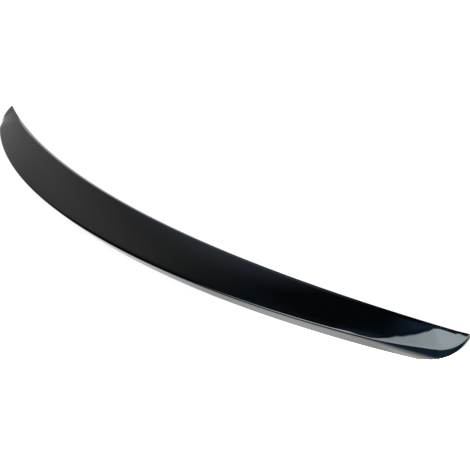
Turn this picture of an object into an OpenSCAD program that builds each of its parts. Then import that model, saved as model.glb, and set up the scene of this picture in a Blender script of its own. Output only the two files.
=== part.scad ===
// Boot lid lip spoiler, one thin-walled moulding with an open back.
// X runs along the lid from tip to tip, +Y points to the front of the car and
// the trailing lip is on the -Y side. It lies as it comes to rest on a table:
// on the flat foot of its rear wall, at Z = 0, with the front edge in the air.

/* [Plan] */
// Distance between the two tips
span = 1180; // [1000:10:1400]
// How far the middle of the front edge lies behind the tips
front_sag = 94.8; // [60:0.1:130]
// Depth from the front edge to the lip at the middle
middle_depth = 92.2; // [80:0.1:130]
// Distance behind the tip at which the lip's long arc would pass it
end_depth = 32.75; // [26:0.25:42]
// Radius of the round shoulder between the lip and each tip
shoulder_r = 43.75; // [36:0.25:70]
// Radius of each tip, seen from above
tip_r = 3.5; // [2.5:0.5:7]

/* [Heights] */
// Height of the tips above the table
tip_height = 34.1; // [29:0.1:40]
// How far the front edge sags between the tips
front_dip = 4.2; // [0:0.1:9]
// Height of the lip at the middle
lip_height = 22.25; // [19:0.25:27]
// Height of the lip where it meets the shoulders
lip_height_end = 16.75; // [16:0.25:23]
// Length of lip over which it climbs to the tip
lip_rise = 46; // [40:1:80]
// Length of lip over which the rear wall fades out towards the tip
wall_fade = 68.5; // [60:0.5:110]

/* [Shoulders] */
// Distance from the tip, along the lip, at which the lip's edge begins to soften
shoulder_start = 130; // [90:1:150]
// Distance from the tip at which the round takes the whole wall
shoulder_full = 43; // [20:1:60]
// How much more of the top the round takes there
shoulder_round = 7.75; // [4:0.25:12]
// How far the lip sinks there
shoulder_drop = 5.5; // [0:0.25:8]
// Distance from the tip at which both begin to fade out again
shoulder_end = 50; // [30:1:70]

/* [Section] */
// Thickness of the top skin
skin = 3; // [2:0.25:4]
// Thickness of the rear wall
wall = 3; // [2:0.25:4]
// Width of the flat foot that the rear wall stands on
foot = 12; // [9:0.5:16]
// Thickness of the foot
foot_thickness = 3; // [2:0.25:4]
// How far the top bulges above a straight line from the front edge to the lip
crown = 1.5; // [0:0.25:4]
// How far the rear wall leans in at the middle
undercut = 16; // [10:0.5:22]
// How far the rear wall leans in at the shoulders
undercut_end = 1; // [0:0.5:8]
// Length of top and of rear wall that the round of the lip takes
lip_round = 2.25; // [1.5:0.25:5]
// Width over which the top rolls down towards the lip
lip_roll = 10; // [6:0.5:14]
// How far that roll drops
lip_roll_drop = 1; // [0:0.1:1.5]
// Width of the bevel along the front edge
bevel = 6.5; // [3:0.5:10]
// How far the bevel drops
bevel_drop = 0.9; // [0:0.1:1.4]
// Depth of the rounded nose of the front edge
nose = 1.2; // [0.5:0.1:2]

/* [Hidden] */

gloss_black = [0.02, 0.021, 0.024];

// Number of sections from the middle to each tip
sections = 46;
// Number of rings that close each tip, and how far round the last one lies
tip_rings = 3;
tip_turn = 70;
// Points across the top skin, and round the lip
skin_steps = 9;
lip_steps = 6;
// How much closer the sections lie near the tips, from 0 to 1
end_crowding = 0.72;
// How quickly the lip and the wall's lower edge climb near the tips
climb = 1.4;
fade = 1.3;
// How suddenly the bevel begins, from 1 for a crease
bevel_bend = 1.4;
// Least height of rear wall left under the skin at the tip
wall_left = 1.2;
// Share of the wall that the shoulder's round takes at most
whole_wall = 0.97;
// Fillet inside, between the skin and the wall, and how much of the shoulder's round it follows
fillet = 1.5;
fillet_share = 0.5;

// Front edge: one arc through both tips
half = span / 2;
front_r = (half ^ 2 + front_sag ^ 2) / (2 * front_sag);
front_turn = asin(half / front_r);

// Lip: a long arc that turns into a shoulder arc, which ends at the tip
lip_sag = front_sag + middle_depth - end_depth;
lip_r = (half ^ 2 + lip_sag ^ 2) / (2 * lip_sag);
lip_centre = [0, lip_r - front_sag - middle_depth];
tip_reach = norm([half, lip_centre.y]);
long_turn = atan2(half, lip_centre.y)
    - acos(((lip_r - shoulder_r) ^ 2 + tip_reach ^ 2 - shoulder_r ^ 2)
           / (2 * (lip_r - shoulder_r) * tip_reach));
shoulder_centre = lip_centre + (lip_r - shoulder_r) * [sin(long_turn), -cos(long_turn)];
shoulder_turn = atan2(half - shoulder_centre.x, shoulder_centre.y);
long_length = lip_r * long_turn * PI / 180;
lip_length = long_length + shoulder_r * (shoulder_turn - long_turn) * PI / 180;

// The round of each tip starts where its arc would touch the lip
tip_corner = shoulder_turn - front_turn;
last_station = 1 - tip_r / tan(tip_corner / 2) / lip_length;
tip_bulge = tip_r * (1 - sin(tip_corner / 2));

// Share of the way from the middle to the tip, closer together near the tip
function station(i) =
    let (t = i / sections)
    last_station * ((1 - end_crowding) * t + end_crowding * sin(90 * t));

function front_plan(s) =
    let (turn = front_turn * s)
    [front_r * sin(turn), front_r * (1 - cos(turn)) - front_sag];

function lip_plan(s) =
    let (along = s * lip_length,
         long = min(along, long_length) / lip_r * 180 / PI,
         short = max(along - long_length, 0) / shoulder_r * 180 / PI,
         turn = long_turn + short)
    along < long_length
        ? lip_centre + lip_r * [sin(long), -cos(long)]
        : shoulder_centre + shoulder_r * [sin(turn), -cos(turn)];

// 0 until the given length before the tip, then up to 1 at the tip
function near_tip(s, length, power) =
    max(0, 1 - (1 - s) * lip_length / length) ^ power;

// Goes smoothly from 0 at the start to 1 at the end
function ease(x, start, end) =
    let (t = max(0, min(1, (x - start) / (end - start))))
    t * t * (3 - 2 * t);

// How far the lip's edge has softened, and how much of that the tip still leaves
function softened(s) = ease((1 - s) * lip_length, shoulder_start, shoulder_full);
function kept(s) = ease((1 - s) * lip_length, 0, shoulder_end);

function front_z(s) = tip_height - front_dip * (1 - s ^ 2) ^ 1.5;

function lip_z(s) =
    let (run = min(1, s * lip_length / (lip_length - lip_rise)),
         level = lip_height + (lip_height_end - lip_height) * run ^ 2)
    level + (tip_height - level) * near_tip(s, lip_rise, climb)
    - shoulder_drop * softened(s) * kept(s);

function base_z(s) = (tip_height - skin - wall_left) * near_tip(s, wall_fade, fade);

function lean(s) =
    (undercut + (undercut_end - undercut) * s ^ 2) * (1 - near_tip(s, wall_fade, fade));

// Point on a quadratic curve from a to c that bends at b
function bend(a, b, c, t) = (1 - t) ^ 2 * a + 2 * t * (1 - t) * b + t ^ 2 * c;

// Place number k of the skin's steps from a to b, closer together near both
function crowded(a, b, k) = a + (b - a) * (1 - cos(180 * k / skin_steps)) / 2;

// One closed section through the skin, the rear wall and its foot, front edge first
function section(s) =
    let (front = front_plan(s),
         lip = lip_plan(s),
         depth = norm(front - lip),
         inward = (front - lip) / depth,
         height = lip_z(s) - base_z(s),
         inset = lean(s),
         slant = norm([height, inset]),
         slope = (front_z(s) - lip_z(s)) / depth,
         // a place at a distance behind the lip, at a height
         at = function (d, z) [lip.x + inward.x * d, lip.y + inward.y * d, z],
         swell = function (d) 4 * crown * (d / depth) * (1 - d / depth) * min(1, depth / middle_depth),
         roll = min(lip_roll, 0.3 * depth),
         slant_width = min(bevel, 0.3 * depth),
         rolled = function (d) lip_roll_drop * roll / lip_roll * max(0, 1 - d / roll) ^ 2,
         bevelled = function (d)
             bevel_drop * slant_width / bevel * max(0, 1 - (depth - d) / slant_width) ^ bevel_bend,
         top = function (d) at(d, lip_z(s) + slope * d + swell(d) - rolled(d) - bevelled(d)),
         under = function (d) top(d) - [0, 0, skin],
         tip_inset = min(nose, 0.2 * depth),
         // the round of the lip, which takes the whole wall at the shoulders
         sharp = min(lip_round, 0.4 * depth, 0.4 * slant),
         round = min(sharp + shoulder_round * softened(s) * kept(s), 0.45 * depth),
         wall_share = (sharp + (whole_wall * slant - sharp) * softened(s)) / slant,
         lip_corner = top(0),
         wall_start = lip_corner + (at(inset, base_z(s)) - lip_corner) * wall_share,
         wall_in = wall * slant / height,
         corner_d = (inset * skin / height + wall_in) / (1 + inset * slope / height),
         corner = min(corner_d, 0.6 * depth),
         rise = min(foot_thickness, (height - skin) / 2),
         heel = min(inset * (1 - rise / height) + wall_in, 0.6 * depth),
         toe = min(inset + foot, 0.8 * depth),
         inner = min(fillet + fillet_share * (round - sharp), 0.1 * depth + 0.3 * (height - skin - rise)),
         heel_point = at(heel, base_z(s) + rise),
         wall_inside = norm(under(corner) - heel_point),
         inner_share = min(inner / wall_inside, 0.5))
    concat(
        [at(depth, top(depth).z - skin / 2)],
        [for (k = [0 : skin_steps]) top(crowded(depth - tip_inset, round, k))],
        [for (k = [1 : lip_steps]) bend(top(round), lip_corner, wall_start, k / lip_steps)],
        [at(inset, base_z(s)), at(toe, base_z(s)), at(toe, base_z(s) + rise)],
        [heel_point],
        [under(corner) + (heel_point - under(corner)) * inner_share],
        [for (k = [0 : skin_steps]) under(crowded(corner + inner, depth - tip_inset, k))]);

// Rings beyond the last section that close the round tip
function tip_ring(k) =
    let (last = section(last_station),
         front = front_plan(last_station),
         lip = lip_plan(last_station),
         chord = lip - front,
         out = [-chord.y, chord.x, 0] / norm(chord),
         middle = [(front.x + lip.x) / 2, (front.y + lip.y) / 2, tip_height - skin / 2],
         turn = tip_turn * k / tip_rings)
    [for (p = last) middle + (p - middle) * cos(turn) + out * tip_bulge * sin(turn)];

half_rings = concat(
    [for (i = [0 : sections]) section(station(i))],
    [for (k = [1 : tip_rings]) tip_ring(k)]);

function mirrored(ring) = [for (p = ring) [-p.x, p.y, p.z]];

// Middle of the plan box, so that the origin lies under the middle of the part
rear_reach = min([for (p = half_rings[0]) p.y]);
front_reach = max([for (ring = half_rings, p = ring) p.y]);
y_shift = -(rear_reach + front_reach) / 2;

module skin_of_rings(rings) {
    count = len(rings[0]);
    points = [for (ring = rings, p = ring) p];
    sides = [for (i = [0 : len(rings) - 2], k = [0 : count - 1])
        let (a = i * count + k, b = i * count + (k + 1) % count)
        [a, a + count, b + count, b]];
    // each end is filled in along the skin, round the lip, down the wall and out along the foot
    lip_top = skin_steps + 1;
    lip_middle = lip_top + floor(lip_steps / 2);
    wall_top = lip_top + lip_steps;
    heel = wall_top + 4;
    fillet_low = heel + 1;
    fillet_high = heel + 2;
    start_cap = concat(
        [[0, 1, count - 1]],
        [for (k = [1 : skin_steps]) [k, k + 1, count - 1 - k, count - k]],
        [for (k = [lip_top : lip_middle - 1]) [k, k + 1, fillet_high]],
        [[lip_middle, fillet_low, fillet_high]],
        [for (k = [lip_middle : wall_top - 1]) [k, k + 1, fillet_low]],
        [[wall_top, wall_top + 1, heel, fillet_low],
         [wall_top + 1, wall_top + 2, wall_top + 3, heel]]);
    end_cap = [for (face = start_cap)
        [for (k = [len(face) - 1 : -1 : 0]) (len(rings) - 1) * count + face[k]]];
    polyhedron(points, concat(sides, start_cap, end_cap), convexity = 6);
}

module spoiler() {
    last = len(half_rings) - 1;
    rings = concat(
        [for (i = [last : -1 : 1]) mirrored(half_rings[i])],
        half_rings);
    color(gloss_black)
        translate([0, y_shift, 0]) skin_of_rings(rings);
}

spoiler();
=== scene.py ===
"""A gloss-black boot lid lip spoiler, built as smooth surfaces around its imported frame."""

import math

import bpy
import numpy as np
from bpy.props import FloatProperty, FloatVectorProperty, IntProperty, PointerProperty
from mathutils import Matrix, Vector


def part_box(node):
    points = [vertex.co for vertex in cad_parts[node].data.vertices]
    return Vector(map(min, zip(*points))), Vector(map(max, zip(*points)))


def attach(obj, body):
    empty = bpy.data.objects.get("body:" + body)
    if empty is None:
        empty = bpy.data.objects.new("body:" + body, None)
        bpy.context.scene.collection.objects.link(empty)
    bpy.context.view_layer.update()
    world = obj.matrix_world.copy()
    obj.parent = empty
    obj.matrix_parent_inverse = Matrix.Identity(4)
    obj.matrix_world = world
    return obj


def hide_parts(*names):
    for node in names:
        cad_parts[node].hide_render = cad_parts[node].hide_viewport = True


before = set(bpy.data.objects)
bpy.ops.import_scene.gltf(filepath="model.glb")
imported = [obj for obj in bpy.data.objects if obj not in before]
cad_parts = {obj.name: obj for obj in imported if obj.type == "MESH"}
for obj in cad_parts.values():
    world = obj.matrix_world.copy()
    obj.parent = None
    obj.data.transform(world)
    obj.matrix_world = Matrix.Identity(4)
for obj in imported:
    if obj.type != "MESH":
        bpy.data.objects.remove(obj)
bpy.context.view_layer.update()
NODE_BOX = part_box("spoiler")

bl_info = {
    "name": "Boot lid lip spoiler",
    "version": (1, 0, 0),
    "blender": (4, 5, 0),
    "location": "View3D > Sidebar > Lip spoiler",
    "description": "Builds a gloss-black lip spoiler and the studio around it",
    "category": "Object",
}

DIP_BEND = 1.5  # how early the front edge's dip fades towards the tips
BEVEL_BEND = 1.4  # how suddenly the bevel begins, from 1 for a crease
WHOLE_WALL = 0.97  # share of the wall that the shoulder's round takes at most
FILLET_SHARE = 0.75  # how much of the shoulder's round the fillet inside follows
UNDER_NOSE = 1.5  # how much deeper the nose is rounded below than above
CORNER_STEPS = 4  # points round a small corner
FILLET_STEPS = 8  # points round the fillet under the lip

# Shares of the section's depth that its features take at most, where it narrows to the tip
MOST_ROLL = 0.3
MOST_SHARP = 0.4
MOST_ROUND = 0.45
MOST_NOSE = 0.2
MOST_HEEL = 0.6
MOST_TOE = 0.8

DEGREES = 180 / math.pi
FILL_PLACE = (0.4, -0.6, 2.0)
FILL_SPREAD = math.radians(120)
SENSOR_WIDTH = 36.0  # millimetres


def length(name, description, default):
    """A size in metres that a user may change."""
    return FloatProperty(name=name, description=description, default=default, min=0.0,
                         precision=5, subtype="DISTANCE", unit="LENGTH")


def share(name, description, default, top=1.0):
    """A plain number from 0 up."""
    return FloatProperty(name=name, description=description, default=default, min=0.0, max=top)


def colour(name, description, default):
    """A linear colour."""
    return FloatVectorProperty(name=name, description=description, default=default, size=3,
                               min=0.0, subtype="COLOR")


class PlanSizes(bpy.types.PropertyGroup):
    """The two edges of the spoiler, seen from above."""

    span: length("Span", "Distance between the two tips", 1.18)
    front_sag: length("Front sag", "How far the middle of the front edge lies behind the tips", 0.0948)
    middle_depth: length("Middle depth", "From the front edge to the lip at the middle", 0.0922)
    end_depth: length("End depth", "How far behind the tip the lip's long arc would pass it", 0.03275)
    shoulder_radius: length("Shoulder radius", "Round between the lip and each tip", 0.04375)
    tip_radius: length("Tip radius", "Round of each tip, seen from above", 0.0035)


class HeightSizes(bpy.types.PropertyGroup):
    """How high the edges lie above the table."""

    tip_height: length("Tip height", "Height of the tips", 0.0341)
    front_dip: length("Front dip", "How far the front edge sags between the tips", 0.0042)
    lip_height: length("Lip height", "Height of the lip at the middle", 0.02225)
    lip_height_end: length("Lip height at the ends", "Height of the lip at the shoulders", 0.01675)
    lip_rise: length("Lip rise", "Length of lip over which it climbs to the tip", 0.046)
    wall_fade: length("Wall fade", "Length of lip over which the wall's lower edge climbs", 0.0685)
    wall_left: length("Wall left", "Least height of wall under the skin at the tip", 0.0012)
    climb: share("Climb", "How suddenly the lip climbs near the tips", 1.4, 4.0)
    fade: share("Fade", "How suddenly the wall's lower edge climbs near the tips", 1.3, 4.0)


class ShoulderSizes(bpy.types.PropertyGroup):
    """How the lip's edge softens into a full round near each tip."""

    start: length("Start", "Distance from the tip, along the lip, at which the edge begins to soften", 0.130)
    full: length("Full round", "Distance from the tip at which the round takes the whole wall", 0.043)
    end: length("End", "Distance from the tip at which the round begins to fade out of the top", 0.050)
    round: length("Round", "How much more of the top the round takes", 0.00775)
    drop: length("Drop", "How far the lip sinks", 0.0055)


class SectionSizes(bpy.types.PropertyGroup):
    """The section through the skin, the rear wall and its foot."""

    skin: length("Skin", "Thickness of the top skin", 0.003)
    wall: length("Wall", "Thickness of the rear wall", 0.003)
    foot: length("Foot", "Width of the flat foot under the rear wall", 0.012)
    foot_thickness: length("Foot thickness", "Thickness of the foot", 0.003)
    crown: length("Crown", "How far the top bulges above a straight line", 0.0015)
    undercut: length("Undercut", "How far the wall leans in at the middle", 0.016)
    undercut_end: length("Undercut at the ends", "How far the wall leans in at the shoulders", 0.001)
    lip_round: length("Lip round", "Length of top and wall that the round of the lip takes", 0.00225)
    lip_roll: length("Lip roll", "Width over which the top rolls down towards the lip", 0.010)
    lip_roll_drop: length("Lip roll drop", "How far that roll drops", 0.001)
    bevel: length("Bevel", "Width of the bevel along the front edge", 0.0065)
    bevel_drop: length("Bevel drop", "How far the bevel drops", 0.0009)
    nose: length("Nose", "Depth of the rounded nose of the front edge", 0.0012)
    edge_round: length("Edge round", "Small round on the edges of the wall and the foot", 0.0007)
    inner_round: length("Inner round", "Fillet between the skin, the wall and the foot", 0.0015)


class MeshSteps(bpy.types.PropertyGroup):
    """How finely the surface is divided."""

    half_stations: IntProperty(name="Stations", description="Sections from the middle to a tip", default=230)
    tip_rings: IntProperty(name="Tip rings", description="Rings that close each tip", default=14)
    top_steps: IntProperty(name="Top steps", description="Points across the top skin", default=48)
    round_steps: IntProperty(name="Round steps", description="Points round the lip", default=17)
    nose_steps: IntProperty(name="Nose steps", description="Points round the front edge", default=10)
    under_steps: IntProperty(name="Under steps", description="Points across the skin's inside", default=16)
    wall_steps: IntProperty(name="Wall steps", description="Points down the rear wall", default=7)
    crowding: share("Crowding", "How much closer the stations lie near the tips", 0.8)


class Finishes(bpy.types.PropertyGroup):
    """Colours and gloss of the moulding."""

    gloss_black: colour("Gloss black", "Colour of the polished outer face", (0.0007, 0.0008, 0.001))
    inner_black: colour("Inner black", "Colour of the plain inner face", (0.0105, 0.0105, 0.0115))
    polish: share("Polish", "Roughness of the polished face", 0.035)
    inner_roughness: share("Inner roughness", "Roughness of the plain inner face", 0.52)
    ripple: length("Ripple", "Height of the faint waves in the polish", 0.0000012)
    grain: length("Grain", "Height of the spark-eroded grain inside", 0.00006)


class StudioSettings(bpy.types.PropertyGroup):
    """The table, the light and the camera."""

    table_white: colour("Table", "Colour of the table", (0.08, 0.08, 0.08))
    table_glow: share("Table glow", "Light that comes up through the table", 0.95, 5.0)
    # Painted glow: extra light from the table beside the rear wall and at its right shoulder, there only so
    # that the wall mirrors it as a painted reflection
    painted_glow_beside_wall: share("Wall glow", "More of it beside the right half of the rear wall", 1.75, 5.0)
    painted_glow_at_shoulder: share("Shoulder glow", "More again close to the right shoulder", 2.6, 5.0)
    table_size: length("Table size", "Side of the square table", 12.0)
    fill: share("Fill", "Strength of the lamp that lights matt surfaces", 1.6, 20.0)
    soft_light: share("Soft light", "Brightness of the soft light overhead", 7.4, 50.0)
    soft_tint: colour("Soft light tint", "Tint of the soft light overhead", (0.85, 1.0, 1.05))
    wall_tint: colour("Wall tint", "Tint of the pale wall on the left", (1.0, 1.0, 0.98))
    glow_tint: colour("Glow tint", "Tint of the glow to the right of that wall", (0.75, 1.0, 1.4))
    dusk_tint: colour("Dusk tint", "Tint of the dim blue behind the camera and overhead", (0.4, 1.0, 1.9))
    azimuth: FloatProperty(name="Azimuth", description="Direction that the camera looks in, from +Y",
                           default=math.radians(46.324), subtype="ANGLE", unit="ROTATION")
    elevation: FloatProperty(name="Elevation", description="How steeply the camera looks down",
                             default=math.radians(30.208), subtype="ANGLE", unit="ROTATION")
    distance: length("Distance", "From the camera to the point that it looks at", 0.97523)
    aim_x: FloatProperty(name="Aim X", description="Place on the table that the camera looks at",
                         default=0.18745, precision=5, subtype="DISTANCE", unit="LENGTH")
    aim_y: FloatProperty(name="Aim Y", description="Place on the table that the camera looks at",
                         default=0.09226, precision=5, subtype="DISTANCE", unit="LENGTH")
    focal_length: FloatProperty(name="Focal length", description="Lens, for a 36 mm wide sensor",
                                default=45.957, subtype="DISTANCE_CAMERA")


class Plan:
    """The spoiler's two edges seen from above, with the tips at y = 0.

    The front edge is one arc through both tips. The lip is a long arc that turns into a
    shoulder arc, and that one ends at the tip. A share of 0 is the middle and 1 is the tip.
    """

    def __init__(self, size):
        half = size.span / 2
        self.front_sag = size.front_sag
        self.front_radius = (half**2 + size.front_sag**2) / (2 * size.front_sag)
        self.front_turn = math.asin(half / self.front_radius)
        lip_sag = size.front_sag + size.middle_depth - size.end_depth
        self.lip_radius = (half**2 + lip_sag**2) / (2 * lip_sag)
        self.lip_centre = np.array([0.0, self.lip_radius - size.front_sag - size.middle_depth])
        self.shoulder_radius = size.shoulder_radius
        reach = math.hypot(half, self.lip_centre[1])
        inner = self.lip_radius - size.shoulder_radius
        swing = math.acos((inner**2 + reach**2 - size.shoulder_radius**2) / (2 * inner * reach))
        self.long_turn = math.atan2(half, self.lip_centre[1]) - swing
        self.shoulder_centre = self.lip_centre + inner * np.array(
            [math.sin(self.long_turn), -math.cos(self.long_turn)])
        self.shoulder_turn = math.atan2(half - self.shoulder_centre[0], self.shoulder_centre[1])
        self.long_length = self.lip_radius * self.long_turn
        self.lip_length = self.long_length + size.shoulder_radius * (self.shoulder_turn - self.long_turn)
        corner = self.shoulder_turn - self.front_turn
        self.last_share = 1 - size.tip_radius / math.tan(corner / 2) / self.lip_length
        self.tip_bulge = size.tip_radius * (1 - math.sin(corner / 2))

    def shares(self, count, crowding):
        """Shares from the middle to the last station, closer together near the tip."""
        t = np.linspace(0, 1, count + 1)
        return self.last_share * ((1 - crowding) * t + crowding * np.sin(t * math.pi / 2))

    def front(self, s):
        """Point on the front arc at the share s of its turn."""
        turn = self.front_turn * s
        return np.stack([self.front_radius * np.sin(turn),
                         self.front_radius * (1 - np.cos(turn)) - self.front_sag], -1)

    def lip(self, s):
        """Point on the lip at the share s of its length: long arc first, then shoulder arc."""
        along = s * self.lip_length
        turn = along / self.lip_radius
        short = self.long_turn + (along - self.long_length) / self.shoulder_radius
        long_arc = self.lip_centre + self.lip_radius * np.stack([np.sin(turn), -np.cos(turn)], -1)
        shoulder = self.shoulder_centre + self.shoulder_radius * np.stack([np.sin(short), -np.cos(short)], -1)
        return np.where((along < self.long_length)[:, None], long_arc, shoulder)

    def near_tip(self, s, reach, power):
        """0 until `reach` before the tip along the lip, then up to 1 at the tip."""
        return np.maximum(0.0, 1 - (1 - s) * self.lip_length / reach) ** power


def ease(value, start, end):
    """Goes smoothly from 0 at start to 1 at end: 3 t squared less 2 t cubed."""
    t = np.clip((value - start) / (end - start), 0, 1)
    return t * t * (3 - 2 * t)


def bend(start, corner, end, steps):
    """Quadratic curve from start to end that bends at corner: one row of points per step."""
    t = np.linspace(0, 1, steps)[:, None, None]
    return (1 - t) ** 2 * start + 2 * t * (1 - t) * corner + t**2 * end


def rounded(before, corner, after, reach, steps=CORNER_STEPS):
    """The corner between two straight sides, bent from `reach` before it to `reach` after it."""

    def on_side(point):
        way = point - corner
        side = np.linalg.norm(way, axis=-1, keepdims=True)
        return corner + way / side * np.minimum(reach, MOST_ROUND * side)

    return bend(on_side(before), corner, on_side(after), steps)


def section_profile(sizes, steps, plan, s):
    """The closed section at each share s, as (distance in from the lip, height).

    The top is a straight slope from the lip to the front edge plus a parabola that swells it
    by the crown. Less of it is left near the lip, by a second parabola, and near the front
    edge, by a bevel. It bends round the lip into the wall, and near the tips that bend takes
    the whole wall. The wall leans in to its foot, and the inside runs parallel to the outside.
    Returns the points, one row per place round the section, and how many rows are polished.
    """
    heights, shoulder, cut = sizes.heights, sizes.shoulder, sizes.section
    front, lip = plan.front(s), plan.lip(s)
    depth = np.linalg.norm(front - lip, axis=-1)
    to_tip = (1 - s) * plan.lip_length
    fade = plan.near_tip(s, heights.wall_fade, heights.fade)
    softened = ease(to_tip, shoulder.start, shoulder.full)
    kept = ease(to_tip, 0.0, shoulder.end)
    front_z = heights.tip_height - heights.front_dip * (1 - s**2) ** DIP_BEND
    run = np.minimum(1, s * plan.lip_length / (plan.lip_length - heights.lip_rise))
    level = heights.lip_height + (heights.lip_height_end - heights.lip_height) * run**2
    climb = (heights.tip_height - level) * plan.near_tip(s, heights.lip_rise, heights.climb)
    lip_z = level + climb - shoulder.drop * softened * kept
    base_z = (heights.tip_height - cut.skin - heights.wall_left) * fade
    inset = (cut.undercut + (cut.undercut_end - cut.undercut) * s**2) * (1 - fade)
    height = lip_z - base_z
    slant = np.hypot(height, inset)
    slope = (front_z - lip_z) / depth
    swell = 4 * cut.crown * np.minimum(1, depth / sizes.plan.middle_depth)
    lip_roll = np.minimum(cut.lip_roll, MOST_ROLL * depth)
    bevel = np.minimum(cut.bevel, MOST_ROLL * depth)

    def place(distance, z):
        return np.stack(np.broadcast_arrays(distance, z), -1)

    def top_z(distance):
        crowned = lip_z + slope * distance + swell * (distance / depth) * (1 - distance / depth)
        rolled = cut.lip_roll_drop * lip_roll / cut.lip_roll * np.maximum(0, 1 - distance / lip_roll) ** 2
        to_front = np.maximum(0, 1 - (depth - distance) / bevel)
        return crowned - rolled - cut.bevel_drop * bevel / cut.bevel * to_front**BEVEL_BEND

    sharp = np.minimum(cut.lip_round, MOST_SHARP * np.minimum(depth, slant))
    reach = np.minimum(sharp + shoulder.round * softened * kept, MOST_ROUND * depth)
    down_wall = (sharp + (WHOLE_WALL * slant - sharp) * softened) / slant
    nose = np.minimum(cut.nose, MOST_NOSE * depth)
    under_nose = UNDER_NOSE * nose
    wall_in = cut.wall * slant / height
    corner_in = (inset * cut.skin / height + wall_in) / (1 + inset * slope / height)
    corner_in = np.minimum(corner_in, MOST_HEEL * depth)
    rise = np.minimum(cut.foot_thickness, (height - cut.skin) / 2)
    heel_in = np.minimum(inset * (1 - rise / height) + wall_in, MOST_HEEL * depth)
    toe_in = np.minimum(inset + cut.foot, MOST_TOE * depth)

    lip_corner = place(0 * depth, top_z(0 * depth))
    base, toe = place(inset, base_z), place(toe_in, base_z)
    toe_top, heel = place(toe_in, base_z + rise), place(heel_in, base_z + rise)
    corner = place(corner_in, top_z(corner_in) - cut.skin)
    under_end = place(depth - under_nose, top_z(depth - under_nose) - cut.skin)

    turn = np.linspace(math.pi / 2, 0, steps.nose_steps)[:, None]
    nose_in = depth - nose * (1 - np.sin(turn))
    front_round = place(nose_in, top_z(nose_in) - cut.skin / 2 * (1 - np.cos(turn)))
    back_in = depth - under_nose * (1 - np.sin(turn[-2:0:-1]))
    under_round = place(back_in, top_z(back_in) - cut.skin / 2 * (1 + np.cos(turn[-2:0:-1])))
    top_in = reach + (depth - nose - reach) * np.linspace(1, 0, steps.top_steps)[1:-1, None]
    wall_start = lip_corner + (base - lip_corner) * down_wall[:, None]
    lip_bend = bend(place(reach, top_z(reach)), lip_corner, wall_start, steps.round_steps)
    below_round = (1 - down_wall) * slant
    base_bend = rounded(lip_corner, base, toe, np.minimum(cut.edge_round, below_round)[:, None])
    down = np.linspace(0, 1, steps.wall_steps)[1:-1, None, None]
    wall = lip_bend[-1] + (base_bend[0] - lip_bend[-1]) * down
    fillet = (cut.inner_round + FILLET_SHARE * (reach - sharp))[:, None]
    corner_bend = rounded(heel, corner, under_end, fillet, FILLET_STEPS)
    across = np.linspace(0, 1, steps.under_steps)[1:, None]
    under_in = corner_bend[-1][:, 0] + (depth - under_nose - corner_bend[-1][:, 0]) * across

    polished = [front_round, place(top_in, top_z(top_in)), lip_bend, wall, base_bend[:2]]
    plain = [
        base_bend[2:],
        rounded(base, toe, toe_top, cut.edge_round),
        rounded(toe, toe_top, heel, cut.edge_round),
        rounded(toe_top, heel, corner, cut.inner_round),
        corner_bend,
        place(under_in, top_z(under_in) - cut.skin),
        under_round,
    ]
    return np.concatenate(polished + plain), sum(len(rows) for rows in polished)


def moulding_rings(sizes, steps):
    """Every ring of the moulding from the left tip to the right one: rings, points, xyz.

    A ring's points lie on the line from the lip to the front edge at its share. Past the last
    station the rings shrink about the middle of their chord by a cosine and move out by a
    sine, which rounds the tip off, and the left half is the right one mirrored.
    """
    plan = Plan(sizes.plan)
    s = plan.shares(steps.half_stations, steps.crowding)
    profile, polished = section_profile(sizes, steps, plan, s)
    front, lip = plan.front(s), plan.lip(s)
    inward = (front - lip) / np.linalg.norm(front - lip, axis=-1, keepdims=True)
    half = np.concatenate([lip + inward * profile[..., :1], profile[..., 1:]], -1).swapaxes(0, 1)
    chord = np.append(lip[-1] - front[-1], 0.0)
    out = np.array([-chord[1], chord[0], 0.0]) / np.linalg.norm(chord)
    middle = np.append((front[-1] + lip[-1]) / 2, sizes.heights.tip_height - sizes.section.skin / 2)
    turn = np.linspace(0, math.pi / 2, steps.tip_rings + 1)[1:, None, None]
    tip = middle + (half[-1] - middle) * np.cos(turn) + out * plan.tip_bulge * np.sin(turn)
    half = np.concatenate([half, tip])
    rings = np.concatenate([half[:0:-1] * [-1, 1, 1], half])
    rings[..., 1] += (NODE_BOX[0].y + NODE_BOX[1].y - rings[..., 1].min() - rings[..., 1].max()) / 2
    return rings, polished


def closed_tube(name, rings):
    """A mesh from rings of points. Neighbouring rings are joined by quads, and each end ring,
    which is one point, becomes the middle of a fan of triangles.
    Returns the object and each face's place round the ring."""
    count, around = rings.shape[:2]
    points = np.concatenate([rings[0, :1], rings[1:-1].reshape(-1, 3), rings[-1, :1]])
    ring, place = np.meshgrid(np.arange(count - 3), np.arange(around), indexing="ij")
    after = (place + 1) % around
    here, there = 1 + ring * around, 1 + (ring + 1) * around
    quads = np.stack([here + place, here + after, there + after, there + place], -1).reshape(-1, 4)
    k = np.arange(around)
    after = (k + 1) % around
    last = 1 + (count - 3) * around
    fans = np.concatenate([np.stack([0 * k, 1 + after, 1 + k], -1),
                           np.stack([last + k, last + after, 0 * k + len(points) - 1], -1)])
    mesh = bpy.data.meshes.new(name)
    mesh.from_pydata(points, [], quads.tolist() + fans.tolist())
    mesh.polygons.foreach_set("use_smooth", np.ones(len(mesh.polygons), bool))
    piece = bpy.data.objects.new(name, mesh)
    bpy.context.scene.collection.objects.link(piece)
    return piece, np.concatenate([place.reshape(-1), k, k])


class Value:
    """A shader socket that can be added, multiplied and so on, each adding a Math node."""

    def __init__(self, shader, socket):
        self.shader, self.socket = shader, socket

    def math(self, operation, *others):
        return self.shader.node("ShaderNodeMath", {"operation": operation}, dict(enumerate((self, *others))))

    def __add__(self, other):
        return self.math("ADD", other)

    def __sub__(self, other):
        return self.math("SUBTRACT", other)

    def __rsub__(self, other):
        return self.shader.node("ShaderNodeMath", {"operation": "SUBTRACT"}, {0: other, 1: self})

    def __mul__(self, other):
        return self.math("MULTIPLY", other)

    __radd__, __rmul__ = __add__, __mul__


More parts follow.
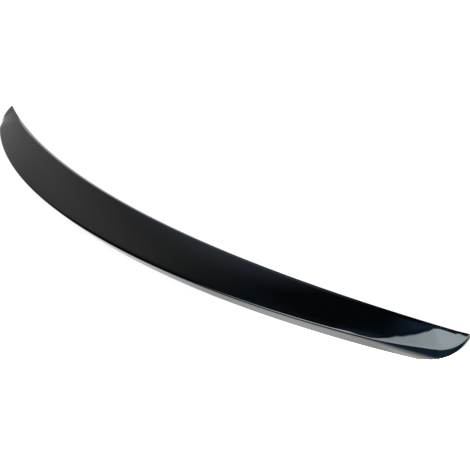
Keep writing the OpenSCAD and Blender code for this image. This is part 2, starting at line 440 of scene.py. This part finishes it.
class Shader:
    """A node tree that is written as expressions."""

    def __init__(self, tree):
        self.tree = tree
        tree.nodes.clear()

    def node(self, kind, settings=None, sockets=None, output=0):
        """Adds a node, with its settings first and then its sockets' values or links."""
        node = self.tree.nodes.new(kind)
        for name, value in (settings or {}).items():
            setattr(node, name, value)
        for name, value in (sockets or {}).items():
            if isinstance(value, Value):
                self.tree.links.new(value.socket, node.inputs[name])
            else:
                node.inputs[name].default_value = value
        return Value(self, node.outputs[output]) if node.outputs else None

    def smooth(self, value, start, end, low=0.0, high=1.0):
        """Goes smoothly from low at start to high at end."""
        return self.node("ShaderNodeMapRange", {"interpolation_type": "SMOOTHSTEP"},
                         {"Value": value, "From Min": start, "From Max": end, "To Min": low, "To Max": high})

    def mix(self, factor, first, second):
        """A colour between two colours."""
        return self.node("ShaderNodeMix", {"data_type": "RGBA"},
                         {"Factor": factor, 6: first, 7: second}, output=2)

    def noise(self, place, scale, detail=2.0, roughness=0.5):
        """Soft random hills between 0 and 1."""
        return self.node("ShaderNodeTexNoise", {},
                         {"Vector": place, "Scale": scale, "Detail": detail, "Roughness": roughness})

    def bump(self, height, distance):
        """A normal that follows hills of the given height in metres."""
        return self.node("ShaderNodeBump", {}, {"Height": height, "Distance": distance, "Strength": 1.0})

    def tinted(self, tint, strength):
        """A tint times a strength."""
        return self.node("ShaderNodeVectorMath", {"operation": "SCALE"}, {0: tuple(tint), "Scale": strength})

    def added(self, first, *others):
        """The sum of several colours."""
        for other in others:
            first = self.node("ShaderNodeVectorMath", {"operation": "ADD"}, {0: first, 1: other})
        return first


def new_material(name):
    """An empty node material, the shader that fills it and the object coordinates."""
    material = bpy.data.materials.new(name)
    material.use_nodes = True
    shader = Shader(material.node_tree)
    return material, shader, shader.node("ShaderNodeTexCoord", output=3)


def rgb(values, factor):
    """An opaque colour for a socket, made darker or lighter by a factor."""
    return (*(value * factor for value in values), 1.0)


def polished_black(finish):
    """Moulded-in gloss black: a mirror skin with faint long waves and a breath of haze."""
    material, shader, place = new_material("polished_black")
    waves = shader.noise(place, scale=95.0, detail=1.0)
    haze = shader.noise(place, scale=14.0, detail=4.0, roughness=0.6)
    tone = shader.mix(haze, rgb(finish.gloss_black, 0.8), rgb(finish.gloss_black, 1.2))
    surface = shader.node("ShaderNodeBsdfPrincipled", {}, {
        "Base Color": tone,
        "Roughness": finish.polish + (haze - 0.5) * 0.02,
        "IOR": 1.5,
        "Normal": shader.bump(waves, finish.ripple),
    })
    shader.node("ShaderNodeOutputMaterial", {}, {"Surface": surface})
    return material


def plain_black(finish):
    """The inside as it leaves the mould: satin black with a fine grain and faint flow marks."""
    material, shader, place = new_material("plain_black")
    grain = shader.noise(place, scale=1400.0, detail=3.0, roughness=0.6)
    stretched = shader.node("ShaderNodeMapping", {}, {"Vector": place, "Scale": (0.15, 1.0, 1.0)})
    flow = shader.noise(stretched, scale=60.0, detail=3.0)
    tone = shader.mix(flow, rgb(finish.inner_black, 0.7), rgb(finish.inner_black, 1.3))
    surface = shader.node("ShaderNodeBsdfPrincipled", {}, {
        "Base Color": tone,
        "Roughness": finish.inner_roughness + (flow - 0.5) * 0.16 + (grain - 0.5) * 0.08,
        "IOR": 1.5,
        "Normal": shader.bump(grain, finish.grain),
    })
    shader.node("ShaderNodeOutputMaterial", {}, {"Surface": surface})
    return material


def table_finish(settings, plan):
    """A matt white table that also glows, so that it stays white with hardly a shadow.

    Its glow is partly painted light: it glows more beside the right half of the rear wall, a painted
    patch of light that the wall mirrors as a painted reflection, and most at the shoulder. `behind` is
    how far a place lies outside the lip's long arc.
    """
    material, shader, place = new_material("white_table_with_painted_glow")
    cloud = shader.noise(place, scale=3.0)
    tone = shader.mix(cloud, rgb(settings.table_white, 0.99), rgb(settings.table_white, 1.01))
    x, y = (shader.node("ShaderNodeSeparateXYZ", {}, {0: place}, output=k) for k in range(2))
    from_centre = y - (NODE_BOX[0].y + plan.lip_radius)
    behind = (x * x + from_centre * from_centre).math("SQRT") - plan.lip_radius

    def beside(from_x, full_x, far, near):
        """0 at from_x and at `far` behind the lip, up to 1 past full_x and at `near`."""
        return shader.smooth(x, from_x, full_x) * shader.smooth(behind, far, near)

    # Painted glow: brighter patches of table where the rear wall and its shoulder mirror them, a painted
    # reflection in the wall
    wall = beside(from_x=0.27, full_x=0.5, far=0.11, near=0.005) * settings.painted_glow_beside_wall
    shoulder = beside(from_x=0.5, full_x=0.57, far=0.022, near=0.0) * settings.painted_glow_at_shoulder
    not_in_front = shader.smooth(behind, -0.045, -0.02)
    strength = settings.table_glow + (wall + shoulder) * not_in_front
    matt = shader.node("ShaderNodeBsdfDiffuse", {}, {"Color": tone})
    white = shader.tinted((1.0, 1.0, 1.0), strength)
    glow = shader.node("ShaderNodeEmission", {}, {"Color": white, "Strength": 1.0})
    surface = shader.node("ShaderNodeAddShader", {}, {0: matt, 1: glow})
    shader.node("ShaderNodeOutputMaterial", {}, {"Surface": surface})
    return material


def sky_directions(shader):
    """Elevation, and azimuth from +Y towards +X, in degrees, and for what hangs overhead how
    far a direction leans from straight up along X and along Y, as tangents."""
    way = shader.node("ShaderNodeTexCoord", output=0)
    x, y, z = (shader.node("ShaderNodeSeparateXYZ", {}, {0: way}, output=k) for k in range(3))
    elevation = z.math("ARCSINE") * DEGREES
    azimuth = x.math("ARCTAN2", y) * DEGREES
    height = z.math("MAXIMUM", 0.001)
    return elevation, azimuth, x.math("DIVIDE", height), y.math("DIVIDE", height)


def pale_wall(shader, elevation, azimuth):
    """A pale wall on the left. It darkens upwards and to the right, its left edge leans over
    to the left higher up, and a brighter strip runs along its foot."""
    tone = shader.smooth(elevation, 17, 27, 0.48, 0.34)
    upwards = shader.smooth(elevation, 38, 58, 1.0, 0.13)
    rightwards = shader.smooth(azimuth, -73, -50, 1.0, 0.25)
    lean = shader.smooth(elevation, 12, 46, 16, 0)
    left_edge = shader.smooth(azimuth + lean, -84, -76.5)
    right_edge = shader.smooth(azimuth, -34, -44)
    strip = shader.smooth(azimuth, -73, -70.5) * shader.smooth(elevation, 23, 20.5) * 1.3
    return (tone * upwards * rightwards * left_edge + strip) * right_edge


def white_horizon(shader, elevation, azimuth):
    """White just above the horizon, as if the table went on, except where the pale wall is."""
    wall = shader.smooth(azimuth, -115, -105) * shader.smooth(azimuth, -25, -35)
    return shader.smooth(elevation, 9, 3) * (1 - wall)


def cool_glow(shader, elevation, azimuth):
    """A cool glow to the right of the pale wall, strongest below 32 degrees."""
    left_edge = shader.smooth(azimuth, -62, -47)
    right_edge = shader.smooth(azimuth, 60, 0)
    top_edge = shader.smooth(elevation, 54, 32)
    return left_edge * right_edge * top_edge * 0.34


def high_haze(shader, elevation, azimuth):
    """A trace of blue high above the pale wall, fainter still towards straight up."""
    right_edge = shader.smooth(azimuth, -50, -57)
    left_edge = shader.smooth(azimuth, -90, -83)
    bottom_edge = shader.smooth(elevation, 44, 56)
    return right_edge * left_edge * bottom_edge * shader.smooth(elevation, 76, 62, 0.012, 0.04)


def blue_dusk(shader, elevation, azimuth):
    """Dim blue on the right and behind the camera, brighter from 153 degrees on."""
    right_edge = shader.smooth(azimuth, 60, 110)
    back_edge = shader.smooth(azimuth, 175, 160)
    top_edge = shader.smooth(elevation, 66, 56)
    return right_edge * back_edge * top_edge * shader.smooth(azimuth, 134, 153, 0.1, 0.24)


def blue_spill(shader, across, along):
    """Blue on the ceiling left of the soft light and behind its corner, dimmer to the right."""
    left_edge = shader.smooth(across + along * 0.5, -0.18, -0.06)
    far_edge = shader.smooth(along, 0.3, -0.05)
    near_edge = shader.smooth(along, -0.08, -0.03).math("MAXIMUM", shader.smooth(across, -0.09, -0.04))
    return left_edge * far_edge * near_edge * shader.smooth(across, -0.04, 0.02, 0.25, 0.13)


def soft_light_shape(shader, elevation, across, along):
    """1 inside the soft light overhead and 0 outside it. It is a wide box right of straight up,
    whose left edge is hollow in its middle, and a foot that reaches left from the box, with a
    slope and a step in its far edge."""
    hollow = shader.smooth(along, 0.1, 0.16, 0, 0.024) + shader.smooth(along, 0.02, -0.11, 0, 0.025)
    box = shader.smooth(across + hollow, 0.032, 0.054)
    slope = shader.smooth(across, -0.115, -0.01, -0.03, -0.14)
    step = shader.smooth(across, -0.11, -0.16, 0, 0.08)
    foot = shader.smooth(along - (slope - step), 0.012, -0.012)
    right_edge = shader.smooth(across - along, 0.73, 0.69)
    near_edge = shader.smooth(along, -0.59, -0.55)
    low_edge = shader.smooth(elevation, 55, 60)
    return box.math("MAXIMUM", foot) * right_edge * near_edge * low_edge


def soft_light_tone(shader, across, along):
    """How the soft light's brightness varies: less far off and to the left, and a little less
    in the box than where the foot joins it."""
    far = shader.smooth(along, 0.15, -0.35, 0.77, 1.0)
    left = shader.smooth(across, -0.6, -0.05, 0.0, 1.1)
    foot = shader.smooth(across, -0.12, -0.04, 1.6, 1.0)
    return far * left * foot * shader.smooth(across, 0.0, 0.06, 1.0, 0.91)


def studio_sky(settings):
    """The studio round the table, as light by direction. It is dark between its lights."""
    world = bpy.data.worlds.new("studio")
    bpy.context.scene.world = world
    world.use_nodes = True
    shader = Shader(world.node_tree)
    elevation, azimuth, across, along = sky_directions(shader)
    soft = soft_light_shape(shader, elevation, across, along)
    white = pale_wall(shader, elevation, azimuth) + white_horizon(shader, elevation, azimuth)
    dusk = (blue_dusk(shader, elevation, azimuth) + high_haze(shader, elevation, azimuth)
            + blue_spill(shader, across, along) * (1 - soft))
    soft_tone = soft * soft_light_tone(shader, across, along) * settings.soft_light
    light = shader.added(
        shader.tinted(settings.wall_tint, white),
        shader.tinted(settings.glow_tint, cool_glow(shader, elevation, azimuth)),
        shader.tinted(settings.dusk_tint, dusk),
        shader.tinted(settings.soft_tint, soft_tone),
    )
    back = shader.node("ShaderNodeBackground", {}, {"Color": light, "Strength": 1.0})
    shader.node("ShaderNodeOutputWorld", {}, {"Surface": back})


def aimed(name, data, place, target):
    """A camera or lamp at a place, looking at a target."""
    thing = bpy.data.objects.new(name, data)
    bpy.context.scene.collection.objects.link(thing)
    thing.location = place
    thing.rotation_euler = (Vector(target) - Vector(place)).to_track_quat("-Z", "Y").to_euler()
    return thing


class SPOILER_OT_moulding(bpy.types.Operator):
    """Builds the one-piece moulding: top skin, lip, rear wall and foot"""

    bl_idname = "spoiler.moulding"
    bl_label = "Build the moulding"

    def execute(self, context):
        scene = context.scene
        rings, polished = moulding_rings(scene.spoiler_sizes, scene.spoiler_steps)
        piece, place = closed_tube("lip_spoiler_moulding", rings)
        piece.data.materials.append(polished_black(scene.spoiler_finishes))
        piece.data.materials.append(plain_black(scene.spoiler_finishes))
        piece.data.polygons.foreach_set("material_index", (place >= polished).astype(np.int32))
        piece.data.update()
        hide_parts("spoiler")
        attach(piece, "root")
        return {"FINISHED"}


class SPOILER_OT_studio(bpy.types.Operator):
    """Sets the white table, the lights and the camera round the spoiler"""

    bl_idname = "spoiler.studio"
    bl_label = "Build the studio"

    def execute(self, context):
        scene = context.scene
        settings = scene.spoiler_studio
        side = settings.table_size / 2
        corners = [(-side, -side, 0), (side, -side, 0), (side, side, 0), (-side, side, 0)]
        mesh = bpy.data.meshes.new("table")
        mesh.from_pydata(corners, [], [(0, 1, 2, 3)])
        mesh.materials.append(table_finish(settings, Plan(scene.spoiler_sizes.plan)))
        table = bpy.data.objects.new("table", mesh)
        scene.collection.objects.link(table)

        studio_sky(settings)
        lamp = bpy.data.lights.new("fill", "SUN")
        lamp.energy = settings.fill
        lamp.angle = FILL_SPREAD
        fill = aimed("fill", lamp, FILL_PLACE, (0, 0, 0))
        fill.visible_glossy = False

        view = bpy.data.cameras.new("camera")
        view.lens, view.sensor_width = settings.focal_length, SENSOR_WIDTH
        view.clip_start, view.clip_end = 0.01, 60.0
        azimuth, elevation = settings.azimuth, settings.elevation
        target = np.array([settings.aim_x, settings.aim_y, 0.0])
        look = np.array([-math.sin(azimuth) * math.cos(elevation),
                         math.cos(azimuth) * math.cos(elevation), -math.sin(elevation)])
        scene.camera = aimed("camera", view, target - look * settings.distance, target)
        scene.view_settings.view_transform = "Standard"
        scene.view_settings.look = "None"
        return {"FINISHED"}


class SPOILER_PT_sidebar(bpy.types.Panel):
    """Buttons for the spoiler and its studio"""

    bl_idname = "SPOILER_PT_sidebar"
    bl_label = "Lip spoiler"
    bl_space_type = "VIEW_3D"
    bl_region_type = "UI"
    bl_category = "Lip spoiler"

    def draw(self, context):
        for operator in (SPOILER_OT_moulding, SPOILER_OT_studio):
            self.layout.operator(operator.bl_idname)


class SpoilerSizes(bpy.types.PropertyGroup):
    """All the sizes of the moulding."""

    plan: PointerProperty(type=PlanSizes)
    heights: PointerProperty(type=HeightSizes)
    shoulder: PointerProperty(type=ShoulderSizes)
    section: PointerProperty(type=SectionSizes)


CLASSES = (PlanSizes, HeightSizes, ShoulderSizes, SectionSizes, SpoilerSizes, MeshSteps, Finishes,
           StudioSettings, SPOILER_OT_moulding, SPOILER_OT_studio, SPOILER_PT_sidebar)
SCENE_SETTINGS = {"spoiler_sizes": SpoilerSizes, "spoiler_steps": MeshSteps,
                  "spoiler_finishes": Finishes, "spoiler_studio": StudioSettings}


def register():
    for part in CLASSES:
        bpy.utils.register_class(part)
    for name, group in SCENE_SETTINGS.items():
        setattr(bpy.types.Scene, name, PointerProperty(type=group))


def unregister():
    for name in SCENE_SETTINGS:
        delattr(bpy.types.Scene, name)
    for part in reversed(CLASSES):
        bpy.utils.unregister_class(part)


def main():
    register()
    bpy.ops.spoiler.studio()
    bpy.ops.spoiler.moulding()


if __name__ == "__main__":
    main()
